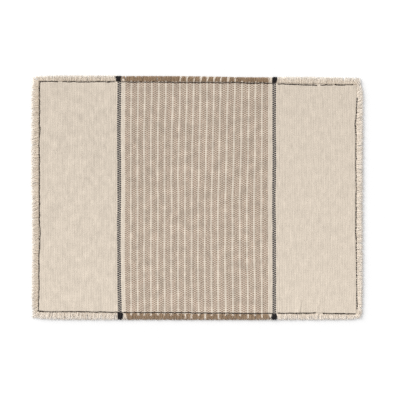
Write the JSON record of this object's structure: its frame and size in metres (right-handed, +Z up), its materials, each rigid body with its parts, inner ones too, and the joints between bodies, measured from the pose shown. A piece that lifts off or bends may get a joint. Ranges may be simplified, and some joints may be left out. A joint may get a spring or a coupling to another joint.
{
  "type": "fabric placemat",
  "caption": "Flat woven cotton placemat with cream side panels, a middle block of taupe stripes, charcoal accent lines and a short self fringe all round.",
  "frame": {"origin": "middle of the outline, on the flat underside that rests on the table", "axes": "+X along the long side, towards the right edge; +Y towards the back edge; +Z up out of the cloth"},
  "size_m": [0.4822, 0.3568, 0.0022],
  "materials": {
    "woven_cotton": "matte, heavy plain weave of paired yarns",
    "cream_cotton": "matte, loose yarn ends",
    "taupe_cotton": "matte, loose yarn ends",
    "charcoal_cotton": "matte, loose yarn ends and sewing thread"
  },
  "bodies": {
    "root": {"mat_cloth": "woven_cotton", "fringe_left": "cream_cotton", "fringe_right": "cream_cotton", "fringe_back_cream_left": "cream_cotton", "fringe_back_charcoal_left": "charcoal_cotton", "fringe_back_strip_left": "cream_cotton", "fringe_back_taupe": "taupe_cotton", "fringe_back_strip_right": "cream_cotton", "fringe_back_charcoal_right": "charcoal_cotton", "fringe_back_cream_right": "cream_cotton", "fringe_front_cream_left": "cream_cotton", "fringe_front_charcoal_left": "charcoal_cotton", "fringe_front_strip_left": "cream_cotton", "fringe_front_taupe": "taupe_cotton", "fringe_front_strip_right": "cream_cotton", "fringe_front_charcoal_right": "charcoal_cotton", "fringe_front_cream_right": "cream_cotton"}
  },
  "joints": []
}
